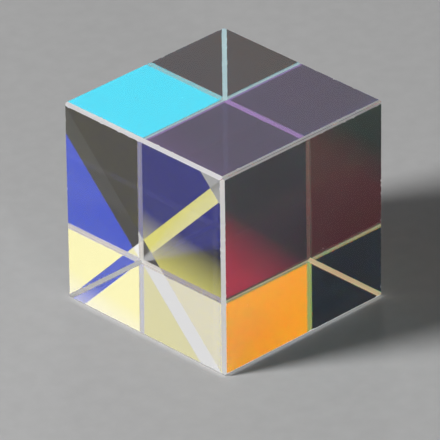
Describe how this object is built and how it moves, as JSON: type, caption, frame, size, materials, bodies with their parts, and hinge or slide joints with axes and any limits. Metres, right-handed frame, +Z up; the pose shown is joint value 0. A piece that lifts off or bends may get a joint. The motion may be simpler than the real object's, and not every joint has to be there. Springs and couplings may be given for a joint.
{
  "type": "dichroic prism cube",
  "caption": "Glass cube of right-angle prisms cemented round one axis, with crossed dichroic films that split white light into colours or combine them.",
  "frame": {"origin": "middle of the cube's lower face", "axes": "+X along the prisms and their common axis, +Z up, -Y out of the front broad face"},
  "size_m": [0.02, 0.02, 0.02],
  "materials": {
    "polished_glass": "optically polished faces with finely ground 45 degree bevels",
    "blue_reflecting_film": "evaporated film that reflects blue and passes yellow",
    "red_reflecting_film": "evaporated film that reflects red and passes cyan",
    "clear_cement": "clear optical cement"
  },
  "bodies": {
    "root": {"upper_prism": "polished_glass", "lower_prism": "polished_glass", "front_prism": "polished_glass", "back_prism": "polished_glass", "blue_film": "blue_reflecting_film", "front_red_film": "red_reflecting_film", "back_red_film": "red_reflecting_film", "main_cement": "clear_cement", "front_cement": "clear_cement", "back_cement": "clear_cement"}
  },
  "joints": []
}
